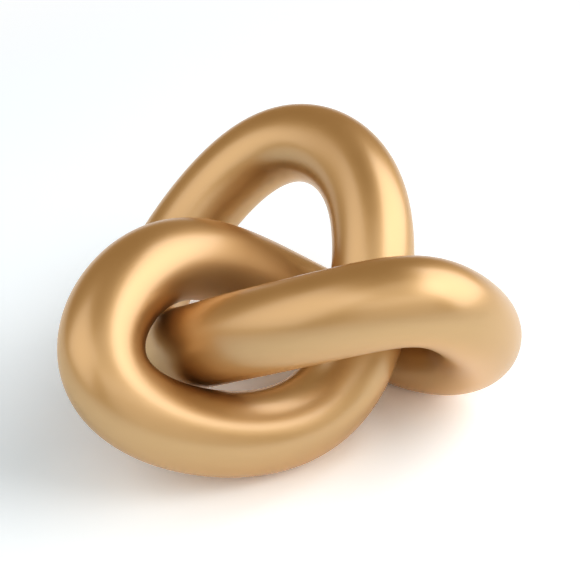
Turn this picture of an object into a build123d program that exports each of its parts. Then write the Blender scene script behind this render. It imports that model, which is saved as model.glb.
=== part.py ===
from build123d import *
from itertools import pairwise
from math import cos, dist, pi, radians, sin, sqrt
import os

# Knot ornament in a satin gold finish: one round tube that closes on itself as a trefoil lying on a table.
# A closed knot can't be cast whole, so hollow castings meet over inner sleeves, are welded and ground flush.
# The tube goes round the upright axis twice, by its rear, right and front lobes, and rests on three felt pads.
# Millimetres and degrees, +Z up. The origin is on the table, under the middle of the knot.

# Tube
tube_diameter = 42
tube_wall = 4

# Plan of the tube's centre line: how far out its lobes go, and how far in from there its three waists come
lobe_reach = 104.2
front_waist_depth = 50.8
rear_waist_depth = 70.7
right_waist_depth = 60

# The way that the rear lobe points, and how far the others are turned from an even spacing
rear_lobe_angle = 103.6
right_lobe_turn_angle = -7.4
front_lobe_turn_angle = -3.8

# Shape of each lobe: how far its two sides are pinched together, and how far its flanks swell out
rear_pinch_angle = 13
right_pinch_angle = 29.2
front_pinch_angle = 21.9
right_tip_spread_angle = 6.6
rear_flank_swell = 0.9
right_flank_swell = 9
front_flank_swell = -11.2

# Clear space under each lobe's upper strand, where it passes over the lobe after it
rear_over_right_gap = 0.8
right_over_front_gap = 0.8
front_over_rear_gap = 0.8
crest_lag_angle = 14.4

# Castings and the joints between them
bend_half_angle = 25
arc_pairs_per_casting = 4
weld_width = 6
sleeve_length = 24
sleeve_wall = 3
sleeve_clearance = 0.2

# Feet, and the vent in one of them
pad_diameter = 14
pad_thickness = 1.5
pad_margin = 0.5
vent_diameter = 5
vent_clearance = 0.1
plug_length = 5
plug_chamfer = 0.6

# Sizes that follow
tube_radius = tube_diameter / 2
bore_radius = tube_radius - tube_wall
sleeve_radius = bore_radius - sleeve_clearance
third = 2 * pi / 3
lag = radians(crest_lag_angle) / 3
first_crest = lag - third / 4
first_low = lag + third / 4
flat_half_width = pad_diameter / 2 + pad_margin
flat_depth = tube_radius - sqrt(tube_radius**2 - flat_half_width**2)
low_height = pad_thickness + tube_radius - flat_depth
search_steps = [radians(step) for step in range(-45, 46)]


def wave(values, place, first):
    """Smooth wave along the tube that takes the three values at first and at each third of the way after it."""
    return sum(value * (1 + 2 * cos(place - first - i * third)) / 3 for i, value in enumerate(values))


def knot_point(place, crests):
    """Point of the centre line round the knot's axis; place runs from 0, the rear lobe's tip, to two pi."""
    depth = wave((front_waist_depth, rear_waist_depth, right_waist_depth), place, third / 2)
    swell = wave((rear_flank_swell, right_flank_swell, front_flank_swell), place, 0)
    turn = wave((0, right_lobe_turn_angle, front_lobe_turn_angle), place, 0)
    pinch = wave((rear_pinch_angle, right_pinch_angle, front_pinch_angle), place, 0)
    spread = wave((0, right_tip_spread_angle, 0), place, 0)
    crest = wave(crests, place, first_crest)
    reach = lobe_reach - depth * (1 - cos(3 * place)) / 2 + swell * sin(3 * place) ** 2
    shift = rear_lobe_angle + turn - pinch * sin(3 * place) + spread * sin(6 * place)
    bearing = 2 * place + radians(shift)
    height = low_height + (crest - low_height) * (1 - sin(3 * (place - lag))) / 2
    return (reach * cos(bearing), reach * sin(bearing), height)


def strand_distance(lobe, crests):
    """Least distance from a lobe's upper strand to the low strand of the next lobe, which it passes over."""
    upper = [knot_point(first_crest - third / 8 + lobe * third + step, crests) for step in search_steps]
    lower = [knot_point(first_low + (lobe + 1) * third + step, crests) for step in search_steps]
    return min(dist(a, b) for a in upper for b in lower)


# Each crest stands as high as its strand needs to clear the one below it
gaps = (rear_over_right_gap, right_over_front_gap, front_over_rear_gap)
crests = [low_height + tube_diameter] * 3
for settling_round in range(60):
    lacking = [tube_diameter + gap - strand_distance(lobe, crests) for lobe, gap in enumerate(gaps)]
    crests = [crest + lack for crest, lack in zip(crests, lacking)]

# The origin is under the middle of the knot's box
outline = [knot_point(radians(step), crests) for step in range(360)]
middle_x, middle_y = ((min(column) + max(column)) / 2 for column in list(zip(*outline))[:2])


def centre_line(place):
    """Point of the tube's centre line."""
    return Vector(knot_point(place, crests)) - Vector(middle_x, middle_y)


def heading(place):
    """Direction in which the centre line runs."""
    small_step = radians(0.005)
    return (centre_line(place + small_step) - centre_line(place - small_step)).normalized()


def arc_pair(start, end):
    """Two arcs from one place on the centre line to another, tangent to it at both ends and to each other."""
    first = centre_line(start)
    last = centre_line(end)
    leaving = heading(start)
    arriving = heading(end)
    chord = last - first
    along = chord.dot(leaving + arriving)
    turn = 1 - leaving.dot(arriving)
    reach = (sqrt(along**2 + 2 * turn * chord.dot(chord)) - along) / (2 * turn)
    near = first + leaving * reach
    far = last - arriving * reach
    meeting = (near + far) / 2
    return [TangentArc(first, meeting, tangent=leaving), TangentArc(meeting, last, tangent=far - near)]


def arcs_along(start, end):
    """The centre line from one place to another as a chain of tangent arcs."""
    places = [start + (end - start) * i / arc_pairs_per_casting for i in range(arc_pairs_per_casting + 1)]
    return [arc for a, b in pairwise(places) for arc in arc_pair(a, b)]


def start_of(arcs, length):
    """The first stretch of a chain of arcs."""
    first = arcs[0]
    if length < first.length:
        return [first.trim(0, length / first.length)]
    return [first, *start_of(arcs[1:], length - first.length)]


def end_of(arcs, length):
    """The last stretch of a chain of arcs."""
    last = arcs[-1]
    if length < last.length:
        return [last.trim(1 - length / last.length, 1)]
    return [*end_of(arcs[:-1], length - last.length), last]


def rod_along(arcs, radius):
    """Round rod swept along a chain of arcs."""
    with BuildPart() as rod:
        with BuildLine() as path:
            add(arcs)
        with BuildSketch(Plane(path.wire() @ 0, z_dir=path.wire() % 0)):
            Circle(radius)
        sweep()
    return rod.part


def save(piece, name):
    """Label a finished piece and write it to its own file."""
    piece.part.label = name
    export_step(piece.part, f"parts/{name}.step")


os.makedirs("parts", exist_ok=True)
lobes = ("rear", "right", "front")
half_span = radians(bend_half_angle)
feet = [centre_line(first_low + i * third) for i in range(3)]

# Routes of the castings in order along the tube: a bend at each lobe's tip, then the run to the next lobe
routes = {}
for i, lobe in enumerate(lobes):
    next_lobe = lobes[(i + 1) % 3]
    routes[f"{lobe}_loop_bend"] = arcs_along(i * third - half_span, i * third + half_span)
    routes[f"{lobe}_to_{next_lobe}_run"] = arcs_along(i * third + half_span, (i + 1) * third - half_span)

# Hollow castings, which stop short of each joint by half the weld and are ground flat over the feet
vented_casting = "right_to_front_run"
vented_foot = feet[1]
for name, arcs in routes.items():
    route_length = sum(arc.length for arc in arcs)
    from_weld = end_of(arcs, route_length - weld_width / 2)
    weld_to_weld = start_of(from_weld, route_length - weld_width)
    with BuildPart() as casting:
        add(rod_along(weld_to_weld, tube_radius))
        split(bisect_by=Plane.XY.offset(pad_thickness), keep=Keep.TOP)
        if name == vented_casting:
            with BuildSketch(Plane((vented_foot.X, vented_foot.Y, pad_thickness))):
                Circle(vent_diameter / 2)
            extrude(amount=tube_radius, mode=Mode.SUBTRACT)
        add(rod_along(arcs, bore_radius), mode=Mode.SUBTRACT)
    save(casting, name)

# At each joint, a weld that fills the space between two castings and a sleeve that lines up their bores
ends = list(routes.values())
joints = [f"{lobe}_{side}" for lobe in lobes for side in ("upper", "lower")]
for i, joint in enumerate(joints):
    before = ends[i - 1]
    after = ends[i]
    weld_route = end_of(before, weld_width / 2) + start_of(after, weld_width / 2)
    sleeve_route = end_of(before, sleeve_length / 2) + start_of(after, sleeve_length / 2)
    bore_route = end_of(before, sleeve_length) + start_of(after, sleeve_length)
    with BuildPart() as weld:
        add(rod_along(weld_route, tube_radius))
        add(rod_along(bore_route, bore_radius), mode=Mode.SUBTRACT)
    save(weld, f"{joint}_weld")
    with BuildPart() as sleeve:
        add(rod_along(sleeve_route, sleeve_radius))
        add(rod_along(bore_route, sleeve_radius - sleeve_wall), mode=Mode.SUBTRACT)
    save(sleeve, f"{joint}_sleeve")

# Felt pads under the three lows of the tube
for lobe, foot in zip(lobes, feet):
    with BuildPart() as pad:
        with BuildSketch(Plane((foot.X, foot.Y, 0))):
            Circle(pad_diameter / 2)
        extrude(amount=pad_thickness)
    save(pad, f"{lobe}_foot_pad")

# Plug that closes the vent, flush with the foot's flat and covered by its pad
with BuildPart() as plug:
    with BuildSketch(Plane((vented_foot.X, vented_foot.Y, pad_thickness))):
        Circle(vent_diameter / 2 - vent_clearance)
    extrude(amount=plug_length)
    chamfer(plug.edges().group_by(Axis.Z)[-1], plug_chamfer)
save(plug, "vent_plug")
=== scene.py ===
import math

import bpy
import numpy as np
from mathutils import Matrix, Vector


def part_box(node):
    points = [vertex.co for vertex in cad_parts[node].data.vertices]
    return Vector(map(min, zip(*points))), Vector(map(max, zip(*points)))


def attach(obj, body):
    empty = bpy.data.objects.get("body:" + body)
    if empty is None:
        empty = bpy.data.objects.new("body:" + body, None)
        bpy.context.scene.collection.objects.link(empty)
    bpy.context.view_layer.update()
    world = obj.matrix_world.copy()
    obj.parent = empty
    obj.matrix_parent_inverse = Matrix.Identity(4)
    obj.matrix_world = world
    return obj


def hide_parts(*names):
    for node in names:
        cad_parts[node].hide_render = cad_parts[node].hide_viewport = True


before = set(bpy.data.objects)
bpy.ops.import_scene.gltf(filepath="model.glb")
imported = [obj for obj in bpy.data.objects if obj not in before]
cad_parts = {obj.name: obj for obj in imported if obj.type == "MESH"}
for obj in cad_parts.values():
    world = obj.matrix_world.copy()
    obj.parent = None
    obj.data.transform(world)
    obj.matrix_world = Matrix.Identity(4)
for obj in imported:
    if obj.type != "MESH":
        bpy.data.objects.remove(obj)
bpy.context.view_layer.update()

# CASTINGS
# Six hollow lengths of one round tube, cast in aluminium, sanded smooth and sprayed in satin gold lacquer.
# A bend goes round each lobe of the knot and a run joins it to the next, butted over sleeves and welded.
# The tube's centre line is a trefoil: it goes round the upright axis twice and over itself at each lobe.
tube_radius = 0.021
tube_wall = 0.004
lobe_reach = 0.1042
waist_depths = {"front": 0.0508, "rear": 0.0707, "right": 0.060}
lobe_turns = {"rear": 0, "right": -7.4, "front": -3.8}
lobe_pinches = {"rear": 13, "right": 29.2, "front": 21.9}
tip_spreads = {"rear": 0, "right": 6.6, "front": 0}
flank_swells = {"rear": 0.0009, "right": 0.009, "front": -0.0112}
crest_heights = {"rear": 0.10073, "right": 0.10819, "front": 0.08361}
rear_lobe_angle = 103.6
crest_lag = math.radians(14.4) / 3
bend_half_angle = 25
weld_width = 0.006
foot_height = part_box("rear_foot_pad")[1].z
foot_flat_radius = 0.0075
low_height = foot_height + math.sqrt(tube_radius**2 - foot_flat_radius**2)
third = 2 * math.pi / 3
lobes = ("rear", "right", "front")


def along_the_tube(values, place, first):
    """Smooth wave that takes the three values at first and at each third of the tube after it."""
    return sum(v * (1 + 2 * np.cos(place - first - i * third)) / 3 for i, v in enumerate(values.values()))


def knot_line(place):
    """Points of the tube's centre line; place runs from 0, the rear lobe's tip, to two pi."""
    depth = along_the_tube(waist_depths, place, third / 2)
    swell = along_the_tube(flank_swells, place, 0)
    crest = along_the_tube(crest_heights, place, crest_lag - third / 4)
    reach = lobe_reach - depth * (1 - np.cos(3 * place)) / 2 + swell * np.sin(3 * place) ** 2
    shift = rear_lobe_angle + along_the_tube(lobe_turns, place, 0)
    shift = shift - along_the_tube(lobe_pinches, place, 0) * np.sin(3 * place)
    shift = shift + along_the_tube(tip_spreads, place, 0) * np.sin(6 * place)
    bearing = 2 * place + np.radians(shift)
    height = low_height + (crest - low_height) * (1 - np.sin(3 * (place - crest_lag))) / 2
    return np.stack([reach * np.cos(bearing), reach * np.sin(bearing), height], axis=-1)


path_steps = 1440
path_start = -math.radians(bend_half_angle)
path_places = path_start + np.linspace(0, 2 * math.pi, path_steps, endpoint=False)
path_points = knot_line(path_places)
path_middle = (path_points.min(axis=0) + path_points.max(axis=0)) / 2
path_points = path_points - path_middle * (1, 1, 0)
path_data = bpy.data.curves.new("tube_centre_line", "CURVE")
path_data.dimensions = "3D"
path_spline = path_data.splines.new("POLY")
path_spline.points.add(path_steps - 1)
path_spline.points.foreach_set("co", np.hstack([path_points, np.ones((path_steps, 1))]).ravel())
path_spline.use_cyclic_u = True
path = bpy.data.objects.new("tube_centre_line", path_data)
bpy.context.scene.collection.objects.link(path)
path_gaps = np.linalg.norm(np.diff(path_points, axis=0, append=path_points[:1]), axis=1)
path_lengths = np.concatenate([[0], np.cumsum(path_gaps)])


def length_to(place):
    """How far along the centre line a place is, from the upper joint of the rear lobe."""
    return float(np.interp(place - path_start, np.linspace(0, 2 * math.pi, path_steps + 1), path_lengths))


def put(tree, kind, inputs=(), **settings):
    """Adds a node to a tree, with its settings, and feeds its inputs from values or other nodes."""
    node = tree.nodes.new(kind)
    for name, value in settings.items():
        setattr(node, name, value)
    for key, value in dict(inputs).items():
        if isinstance(value, bpy.types.NodeSocket):
            tree.links.new(value, node.inputs[key])
        else:
            node.inputs[key].default_value = value
    return node


def sum_of(tree, operation, *terms):
    """Adds a Math node on numbers or sockets and gives its result."""
    return put(tree, "ShaderNodeMath", enumerate(terms), operation=operation).outputs[0]


def vector_of(tree, operation, *terms):
    """Adds a Vector Math node on vectors or sockets and gives its vector."""
    return put(tree, "ShaderNodeVectorMath", enumerate(terms), operation=operation).outputs["Vector"]


def scaled(tree, vector, size):
    """Adds a node that makes a vector longer or shorter and gives its vector."""
    return put(tree, "ShaderNodeVectorMath", {0: vector, "Scale": size}, operation="SCALE").outputs["Vector"]


def blend(tree, factor, first, second):
    """Adds a node that mixes two colours and gives the mix."""
    colours = {0: factor, 6: (*first, 1), 7: (*second, 1)}
    return put(tree, "ShaderNodeMix", colours, data_type="RGBA").outputs[2]


ring_spacing = 0.0012
ring_sides = 96
rim_angle = math.radians(15)
round_enough = 0.99


def build_tube_tree():
    """Nodes that bend one hollow length of tube, of a given wall, along the knot's centre line."""
    tree = bpy.data.node_groups.new("Tube Length", "GeometryNodeTree")
    sizes = ("Start", "End", "Tube Radius", "Wall", "Ring Spacing", "Foot Height")
    tree.interface.new_socket("Path", in_out="INPUT", socket_type="NodeSocketObject")
    for name in sizes:
        tree.interface.new_socket(name, in_out="INPUT", socket_type="NodeSocketFloat")
    tree.interface.new_socket("Ring Sides", in_out="INPUT", socket_type="NodeSocketInt")
    tree.interface.new_socket("Finish", in_out="INPUT", socket_type="NodeSocketMaterial")
    tree.interface.new_socket("Tube", in_out="OUTPUT", socket_type="NodeSocketGeometry")
    given = put(tree, "NodeGroupInput").outputs
    line = put(tree, "GeometryNodeObjectInfo", {"Object": given["Path"]}).outputs["Geometry"]
    line_length = put(tree, "GeometryNodeCurveLength", {"Curve": line}).outputs["Length"]

    # Section of the wall: one closed loop of points, out along the outside and back along the bore
    span = sum_of(tree, "SUBTRACT", given["End"], given["Start"])
    gaps = sum_of(tree, "CEIL", sum_of(tree, "DIVIDE", span, given["Ring Spacing"]))
    rings = sum_of(tree, "ADD", gaps, 1)
    index = put(tree, "GeometryNodeInputIndex").outputs[0]
    last = sum_of(tree, "ADD", sum_of(tree, "MULTIPLY", gaps, 2), 1)
    step = sum_of(tree, "MINIMUM", index, sum_of(tree, "SUBTRACT", last, index))
    inside = sum_of(tree, "GREATER_THAN", index, sum_of(tree, "ADD", gaps, 0.5))
    along = sum_of(tree, "MULTIPLY_ADD", sum_of(tree, "DIVIDE", step, gaps), span, given["Start"])
    away = sum_of(tree, "SUBTRACT", given["Tube Radius"], sum_of(tree, "MULTIPLY", inside, given["Wall"]))
    points = put(tree, "GeometryNodePoints", {"Count": sum_of(tree, "MULTIPLY", rings, 2)}).outputs[0]
    loop = put(tree, "GeometryNodePointsToCurves", {"Points": points, "Weight": index}).outputs[0]
    loop = put(tree, "GeometryNodeSetSplineCyclic", {"Geometry": loop, "Cyclic": True}).outputs[0]
    section = put(tree, "GeometryNodeCaptureAttribute", {"Geometry": loop}, domain="POINT")
    for name, value in (("along", along), ("away", away), ("inside", inside)):
        section.capture_items.new("FLOAT", name)
        tree.links.new(value, section.inputs[name])

    # The loop is carried round a circle, then every point goes to its place about the centre line
    round_shape = {"Resolution": given["Ring Sides"], "Radius": 1.0}
    circle = put(tree, "GeometryNodeCurvePrimitiveCircle", round_shape)
    ring = put(tree, "GeometryNodeCaptureAttribute", {"Geometry": circle.outputs["Curve"]}, domain="POINT")
    ring.capture_items.new("FLOAT", "turn")
    factor = put(tree, "GeometryNodeSplineParameter").outputs["Factor"]
    tree.links.new(sum_of(tree, "MULTIPLY", factor, 2 * math.pi), ring.inputs["turn"])
    curves = {"Curve": ring.outputs[0], "Profile Curve": section.outputs[0]}
    skin = put(tree, "GeometryNodeCurveToMesh", curves)
    whole_length = sum_of(tree, "WRAP", section.outputs["along"], line_length, 0)
    sample = {"Curves": line, "Length": whole_length}
    spot = put(tree, "GeometryNodeSampleCurve", sample, mode="LENGTH").outputs
    across = vector_of(tree, "CROSS_PRODUCT", spot["Normal"], spot["Tangent"])
    turn = ring.outputs["turn"]
    first = scaled(tree, spot["Normal"], sum_of(tree, "COSINE", turn))
    second = scaled(tree, across, sum_of(tree, "SINE", turn))
    outward = vector_of(tree, "ADD", first, second)
    on_skin = vector_of(tree, "ADD", spot["Position"], scaled(tree, outward, section.outputs["away"]))
    place = put(tree, "ShaderNodeSeparateXYZ", {0: on_skin}).outputs
    height = sum_of(tree, "MAXIMUM", place["Z"], given["Foot Height"])
    placed = put(tree, "ShaderNodeCombineXYZ", {"X": place["X"], "Y": place["Y"], "Z": height}).outputs[0]
    moved = {"Geometry": skin.outputs[0], "Position": placed}
    tube = put(tree, "GeometryNodeSetPosition", moved).outputs[0]
    tube = put(tree, "GeometryNodeSetShadeSmooth", {"Geometry": tube, "Shade Smooth": True}).outputs[0]
    fold = put(tree, "GeometryNodeInputMeshEdgeAngle").outputs["Unsigned Angle"]
    rims = put(tree, "GeometryNodeSetShadeSmooth", {"Geometry": tube, "Shade Smooth": False}, domain="EDGE")
    tree.links.new(sum_of(tree, "GREATER_THAN", fold, rim_angle), rims.inputs["Selection"])
    tube = rims.outputs[0]

    # True round normals on the outside and in the bore, so that no shading breaks where two lengths meet
    side = sum_of(tree, "MULTIPLY_ADD", section.outputs["inside"], -2, 1)
    true_normal = scaled(tree, outward, side)
    normal = put(tree, "GeometryNodeInputNormal").outputs[0]
    on_faces = {"data_type": "FLOAT_VECTOR", "domain": "FACE"}
    face_normal = put(tree, "GeometryNodeFieldOnDomain", {0: normal}, **on_faces).outputs[0]
    pair = {0: face_normal, 1: true_normal}
    match = put(tree, "ShaderNodeVectorMath", pair, operation="DOT_PRODUCT").outputs["Value"]
    is_round = sum_of(tree, "GREATER_THAN", match, round_enough)
    choice = {"Switch": is_round, "False": face_normal, "True": true_normal}
    chosen = put(tree, "GeometryNodeSwitch", choice, input_type="VECTOR")
    tube = put(tree, "GeometryNodeSetMeshNormal", {"Mesh": tube}, mode="FREE", domain="CORNER")
    tree.links.new(chosen.outputs[0], tube.inputs["Custom Normal"])
    tube = put(tree, "GeometryNodeRealizeInstances", {"Geometry": tube.outputs[0]}).outputs[0]
    tube = put(tree, "GeometryNodeSetMaterial", {"Geometry": tube, "Material": given["Finish"]}).outputs[0]
    put(tree, "NodeGroupOutput", {"Tube": tube})
    return tree


def tube_length(name, start, end, finish):
    """One hollow length of the tube as a plain mesh, from start to end along the centre line."""
    piece = bpy.data.objects.new(name, bpy.data.meshes.new(name))
    bpy.context.scene.collection.objects.link(piece)
    modifier = piece.modifiers.new("Tube Length", "NODES")
    modifier.node_group = tube_tree
    sizes = {"Path": path, "Start": start, "End": end, "Tube Radius": tube_radius, "Wall": tube_wall,
             "Ring Spacing": ring_spacing, "Ring Sides": ring_sides, "Foot Height": foot_height,
             "Finish": finish}
    for socket in tube_tree.interface.items_tree:
        if socket.name in sizes:
            modifier[socket.identifier] = sizes[socket.name]
    ready = piece.evaluated_get(bpy.context.evaluated_depsgraph_get())
    mesh = bpy.data.meshes.new_from_object(ready)
    piece.modifiers.clear()
    piece.data = mesh
    mesh.name = name
    return piece


def build_lacquer_group():
    """Shader group for sprayed lacquer: cloudy tone, uneven sheen and the fine orange peel of spray."""
    group = bpy.data.node_groups.new("Sprayed Lacquer", "ShaderNodeTree")
    for name in ("Cloud Size", "Peel Size", "Sheen", "Sheen Spread"):
        group.interface.new_socket(name, in_out="INPUT", socket_type="NodeSocketFloat")
    for name in ("Tone", "Roughness", "Height"):
        group.interface.new_socket(name, in_out="OUTPUT", socket_type="NodeSocketFloat")
    given = put(group, "NodeGroupInput").outputs
    spot = put(group, "ShaderNodeTexCoord").outputs["Object"]
    cloud_scale = sum_of(group, "DIVIDE", 1, given["Cloud Size"])
    cloud_noise = {"Vector": spot, "Scale": cloud_scale, "Detail": 3.0, "Roughness": 0.5}
    clouds = put(group, "ShaderNodeTexNoise", cloud_noise).outputs[0]
    peel_scale = sum_of(group, "DIVIDE", 1, given["Peel Size"])
    peel_noise = {"Vector": spot, "Scale": peel_scale, "Detail": 2.0, "Roughness": 0.45}
    peel = put(group, "ShaderNodeTexNoise", peel_noise).outputs[0]
    uneven = sum_of(group, "SUBTRACT", clouds, 0.5)
    sheen = sum_of(group, "MULTIPLY_ADD", uneven, given["Sheen Spread"], given["Sheen"])
    put(group, "NodeGroupOutput", {"Tone": clouds, "Roughness": sheen, "Height": peel})
    return group


def gold_finish(name, deep, light, sheen):
    """Satin gold lacquer, mottled between a deep and a light gold."""
    material = bpy.data.materials.new(name)
    material.use_nodes = True
    tree = material.node_tree
    shader = tree.nodes["Principled BSDF"]
    lacquer = put(tree, "ShaderNodeGroup", node_tree=lacquer_group)
    sprayed = {"Cloud Size": 0.03, "Peel Size": 0.0022, "Sheen": sheen, "Sheen Spread": 0.12}
    for key, value in sprayed.items():
        lacquer.inputs[key].default_value = value
    gold = blend(tree, lacquer.outputs["Tone"], deep, light)
    dimples = {"Height": lacquer.outputs["Height"], "Strength": 0.25, "Distance": 0.00003}
    peel = put(tree, "ShaderNodeBump", dimples)
    tree.links.new(gold, shader.inputs["Base Color"])
    tree.links.new(lacquer.outputs["Roughness"], shader.inputs["Roughness"])
    tree.links.new(peel.outputs[0], shader.inputs["Normal"])
    shader.inputs["Metallic"].default_value = 1.0
    shader.inputs["Coat Weight"].default_value = 0.8
    shader.inputs["Coat Roughness"].default_value = 0.25
    shader.inputs["Coat IOR"].default_value = 1.6
    shader.inputs["Specular Tint"].default_value = (1.0, 0.72, 0.4, 1)
    return material


tube_tree = build_tube_tree()
lacquer_group = build_lacquer_group()
gold_tones = {"deep": (0.5, 0.312, 0.126), "light": (0.55, 0.35, 0.155), "sheen": 0.41}
satin_gold = gold_finish("satin_gold", **gold_tones)
half_span = math.radians(bend_half_angle)
for i, lobe in enumerate(lobes):
    next_lobe = lobes[(i + 1) % 3]
    joint_before = length_to(i * third - half_span)
    joint_after = length_to(i * third + half_span)
    next_joint = length_to((i + 1) * third - half_span)
    bend = (f"{lobe}_loop_bend", joint_before, joint_after)
    run = (f"{lobe}_to_{next_lobe}_run", joint_after, next_joint)
    for node, start, end in (bend, run):
        casting = tube_length(f"{node}_cast", start + weld_width / 2, end - weld_width / 2, satin_gold)
        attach(casting, "root")
        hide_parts(node)

# SLEEVES
# Short lengths of bare aluminium tube, turned on a lathe, that sit inside the joints and line up the bores.
# Their solids are right as they are, so they only take their metal.


def turned_metal(name, colour, ridge_size):
    """Bare aluminium with the fine rings that a lathe tool leaves."""
    material = bpy.data.materials.new(name)
    material.use_nodes = True
    tree = material.node_tree
    shader = tree.nodes["Principled BSDF"]
    spot = put(tree, "ShaderNodeTexCoord").outputs["Object"]
    tool_marks = {"Vector": spot, "Scale": 0.05 / ridge_size, "Distortion": 1.5}
    rings = put(tree, "ShaderNodeTexWave", tool_marks, bands_direction="Z")
    stain = put(tree, "ShaderNodeTexNoise", {"Vector": spot, "Scale": 90.0, "Detail": 4.0})
    dull = tuple(0.82 * value for value in colour)
    metal = blend(tree, stain.outputs[0], dull, colour)
    rough = put(tree, "ShaderNodeMapRange", {"Value": rings.outputs["Fac"], "To Min": 0.28, "To Max": 0.42})
    grooves = {"Height": rings.outputs["Fac"], "Strength": 0.3, "Distance": 0.00002}
    ridges = put(tree, "ShaderNodeBump", grooves)
    tree.links.new(metal, shader.inputs["Base Color"])
    tree.links.new(rough.outputs[0], shader.inputs["Roughness"])
    tree.links.new(ridges.outputs[0], shader.inputs["Normal"])
    shader.inputs["Metallic"].default_value = 1.0
    return material


joint_names = [f"{lobe}_{side}" for lobe in lobes for side in ("upper", "lower")]
sleeve_metal = turned_metal("turned_sleeve", (0.66, 0.66, 0.67), ridge_size=0.0004)
for joint in joint_names:
    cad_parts[f"{joint}_sleeve"].data.materials.clear()
    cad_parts[f"{joint}_sleeve"].data.materials.append(sleeve_metal)

# WELDS
# A ring of weld metal fills the space between two castings, ground flush and lost under the same lacquer.
# It is the same tube carried on across the joint, in the same two golds and the same sheen.
ground_gold = gold_finish("ground_gold", **gold_tones)
joint_places = [i * third + side * half_span for i in range(3) for side in (-1, 1)]
for joint, place in zip(joint_names, joint_places):
    middle = length_to(place)
    weld = tube_length(f"{joint}_weld_ring", middle - weld_width / 2, middle + weld_width / 2, ground_gold)
    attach(weld, "root")
    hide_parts(f"{joint}_weld")
bpy.data.objects.remove(path)

# VENT PLUG
# A turned aluminium pin that closes the hole by which hot air left the hollow knot while it was welded.
# It is pressed in flush with the right foot's flat and hidden by the felt, so its solid stays as it is.
plug_metal = turned_metal("turned_plug", (0.66, 0.66, 0.67), ridge_size=0.0003)
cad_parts["vent_plug"].data.materials.clear()
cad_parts["vent_plug"].data.materials.append(plug_metal)

# FELT PADS
# Round pads punched from dark felt and glued to the flats under the three low points of the tube.
# The punch leaves a soft edge that frays a little. The tube's flats and the table touch their faces.


def felt_cloth(name, dark, pale):
    """Pressed wool felt: matted fibres in two tones, rough and without shine."""
    material = bpy.data.materials.new(name)
    material.use_nodes = True
    tree = material.node_tree
    shader = tree.nodes["Principled BSDF"]
    spot = put(tree, "ShaderNodeTexCoord").outputs["Object"]
    matting = {"Vector": spot, "Scale": 900.0, "Detail": 6.0, "Roughness": 0.7, "Distortion": 1.2}
    matted = put(tree, "ShaderNodeTexNoise", matting).outputs[0]
    wool = blend(tree, matted, dark, pale)
    fibres = put(tree, "ShaderNodeBump", {"Height": matted, "Strength": 0.7, "Distance": 0.0002})
    tree.links.new(wool, shader.inputs["Base Color"])
    tree.links.new(fibres.outputs[0], shader.inputs["Normal"])
    shader.inputs["Roughness"].default_value = 0.95
    shader.inputs["Sheen Weight"].default_value = 0.3
    return material


felt = felt_cloth("pressed_felt", dark=(0.026, 0.021, 0.018), pale=(0.075, 0.064, 0.055))
pad_sides = 72
pad_fraying = 0.012
pad_edge = ((0.90, 0.0), (0.97, 0.06), (1.0, 0.25), (0.995, 0.6), (1.0, 0.85), (0.97, 0.97), (0.9, 1.0))
for lobe in lobes:
    low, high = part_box(f"{lobe}_foot_pad")
    middle = (low + high) / 2
    pad_radius = (high.x - low.x) / 2
    rows = []
    for out, up in pad_edge:
        turns = np.linspace(0, 2 * math.pi, pad_sides, endpoint=False)
        loose = 1 + np.sin(7 * turns + 3 * up) * np.sin(17 * turns)
        ragged = 1 - pad_fraying * loose * (0.1 < up < 0.9)
        spread = pad_radius * out * ragged
        level = np.full(pad_sides, low.z + (high.z - low.z) * up)
        across = middle.x + spread * np.cos(turns)
        back = middle.y + spread * np.sin(turns)
        rows.append(np.stack([across, back, level], axis=-1))
    points = [(middle.x, middle.y, low.z), *np.concatenate(rows).tolist(), (middle.x, middle.y, high.z)]
    faces = [(0, 1 + (k + 1) % pad_sides, 1 + k) for k in range(pad_sides)]
    for row in range(len(rows) - 1):
        for k in range(pad_sides):
            here = 1 + row * pad_sides + k
            there = 1 + row * pad_sides + (k + 1) % pad_sides
            faces.append((here, there, there + pad_sides, here + pad_sides))
    top = 1 + (len(rows) - 1) * pad_sides
    faces += [(top + k, top + (k + 1) % pad_sides, len(points) - 1) for k in range(pad_sides)]
    mesh = bpy.data.meshes.new(f"{lobe}_felt")
    mesh.from_pydata(points, [], faces)
    mesh.materials.append(felt)
    mesh.shade_smooth()
    pad = bpy.data.objects.new(f"{lobe}_felt", mesh)
    bpy.context.scene.collection.objects.link(pad)
    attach(pad, "root")
    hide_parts(f"{lobe}_foot_pad")

# FLOOR AND LIGHT
# A wide pale sheet holds the knot's shadow. To the eye and in reflections it is near white by the knot and
# plain white further out. The room is warm and dim in reflections, and sheds a weak cool fill on the sheet.
# A strong soft light is at the right, weaker ones at the left and front, a small one close over the front.


def is_looked_at(tree):
    """One where a ray comes from the camera or from a reflection or a clear piece, and nought elsewhere."""
    ray = put(tree, "ShaderNodeLightPath").outputs
    mirrored = sum_of(tree, "MAXIMUM", ray["Is Glossy Ray"], ray["Is Transmission Ray"])
    return sum_of(tree, "MAXIMUM", ray["Is Camera Ray"], mirrored)


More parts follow.
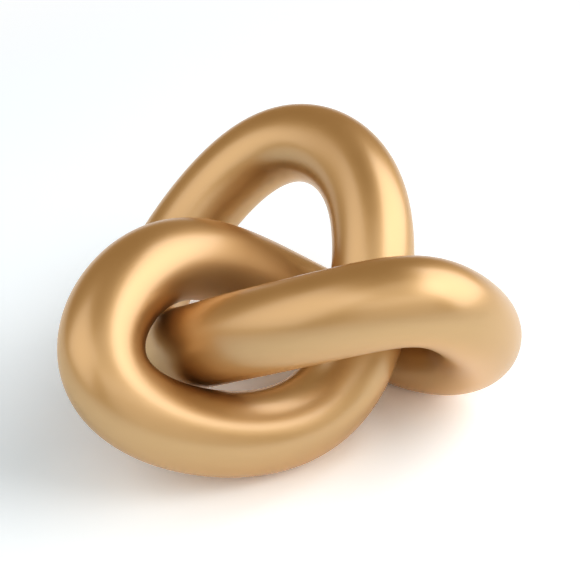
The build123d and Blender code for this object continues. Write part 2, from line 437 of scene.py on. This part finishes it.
edge = 4.0
corners = [(-edge, -edge, 0), (edge, -edge, 0), (edge, edge, 0), (-edge, edge, 0)]
floor_mesh = bpy.data.meshes.new("pale_sheet")
floor_mesh.from_pydata(corners, [], [(0, 1, 2, 3)])
floor = bpy.data.objects.new("pale_sheet", floor_mesh)
bpy.context.scene.collection.objects.link(floor)
floor_paper = bpy.data.materials.new("pale_paper")
floor_paper.use_nodes = True
tree = floor_paper.node_tree
tree.nodes.clear()
seen = is_looked_at(tree)
paper = blend(tree, seen, (0.8, 0.8, 0.8), (1.45, 1.36, 1.22))
sheet = put(tree, "ShaderNodeBsdfDiffuse", {"Color": paper})
spot = put(tree, "ShaderNodeTexCoord").outputs["Object"]
away = put(tree, "ShaderNodeVectorMath", {0: spot}, operation="LENGTH").outputs["Value"]
fade_range = {"Value": away, "From Min": 0.28, "From Max": 0.6}
fade = put(tree, "ShaderNodeMapRange", fade_range, interpolation_type="SMOOTHSTEP")
blank = put(tree, "ShaderNodeEmission", {"Color": (1, 1, 1, 1), "Strength": 1.0})
far = sum_of(tree, "MULTIPLY", fade.outputs[0], seen)
shown = put(tree, "ShaderNodeMixShader", {0: far, 1: sheet.outputs[0], 2: blank.outputs[0]})
put(tree, "ShaderNodeOutputMaterial", {"Surface": shown.outputs[0]})
floor_mesh.materials.append(floor_paper)

world = bpy.data.worlds.new("studio")
world.use_nodes = True
tree = world.node_tree
tree.nodes.clear()
cool_fill = (0.06, 0.115, 0.165)
warm_room = (0.5, 0.37, 0.21)
wall = blend(tree, is_looked_at(tree), cool_fill, warm_room)
room = put(tree, "ShaderNodeBackground", {"Color": wall, "Strength": 1.0})
put(tree, "ShaderNodeOutputWorld", {"Surface": room.outputs[0]})
bpy.context.scene.world = world


def soft_light(name, bearing, elevation, distance, width, height, radiance, colour):
    """Large soft light aimed at the knot; bearing goes round from the right, towards the rear."""
    lamp = bpy.data.lights.new(name, "AREA")
    lamp.shape = "RECTANGLE"
    lamp.size = width
    lamp.size_y = height
    lamp.energy = radiance * math.pi * width * height
    lamp.color = colour
    light = bpy.data.objects.new(name, lamp)
    turn = math.radians(bearing)
    rise = math.radians(elevation)
    towards = Vector((math.cos(rise) * math.cos(turn), math.cos(rise) * math.sin(turn), math.sin(rise)))
    light.location = distance * towards
    light.rotation_euler = towards.to_track_quat("Z", "Y").to_euler()
    light.visible_camera = False
    bpy.context.scene.collection.objects.link(light)


soft_light("right_soft_light", bearing=8, elevation=36, distance=1.5, width=1.9, height=1.8,
           radiance=2.5, colour=(0.87, 0.91, 1.0))
soft_light("left_soft_light", bearing=-160, elevation=38, distance=2.4, width=2.7, height=2.4,
           radiance=1.22, colour=(0.87, 0.92, 1.0))
soft_light("front_soft_light", bearing=-75, elevation=26, distance=2.4, width=2.7, height=2.0,
           radiance=0.62, colour=(0.87, 0.93, 1.0))
soft_light("top_soft_light", bearing=-66, elevation=56, distance=0.65, width=0.9, height=0.5,
           radiance=0.6, colour=(0.88, 0.94, 1.0))

# CAMERA
# Stands in front of the knot and looks down on it, a little under a metre away, through a long lens.
# Its height, distance and lens were worked out together with the shape of the knot.
camera_elevation = math.radians(34.16)
camera_distance = 0.8671
camera_aim = Vector((-0.00168, -0.00191, 0.05719))
lens = bpy.data.cameras.new("camera")
lens.sensor_width = 36
lens.lens = 104.67
camera = bpy.data.objects.new("camera", lens)
camera_back = Vector((0, -math.cos(camera_elevation), math.sin(camera_elevation)))
camera.location = camera_aim + camera_distance * camera_back
camera.rotation_euler = camera_back.to_track_quat("Z", "Y").to_euler()
bpy.context.scene.collection.objects.link(camera)
bpy.context.scene.camera = camera
bpy.context.scene.view_settings.view_transform = "Standard"
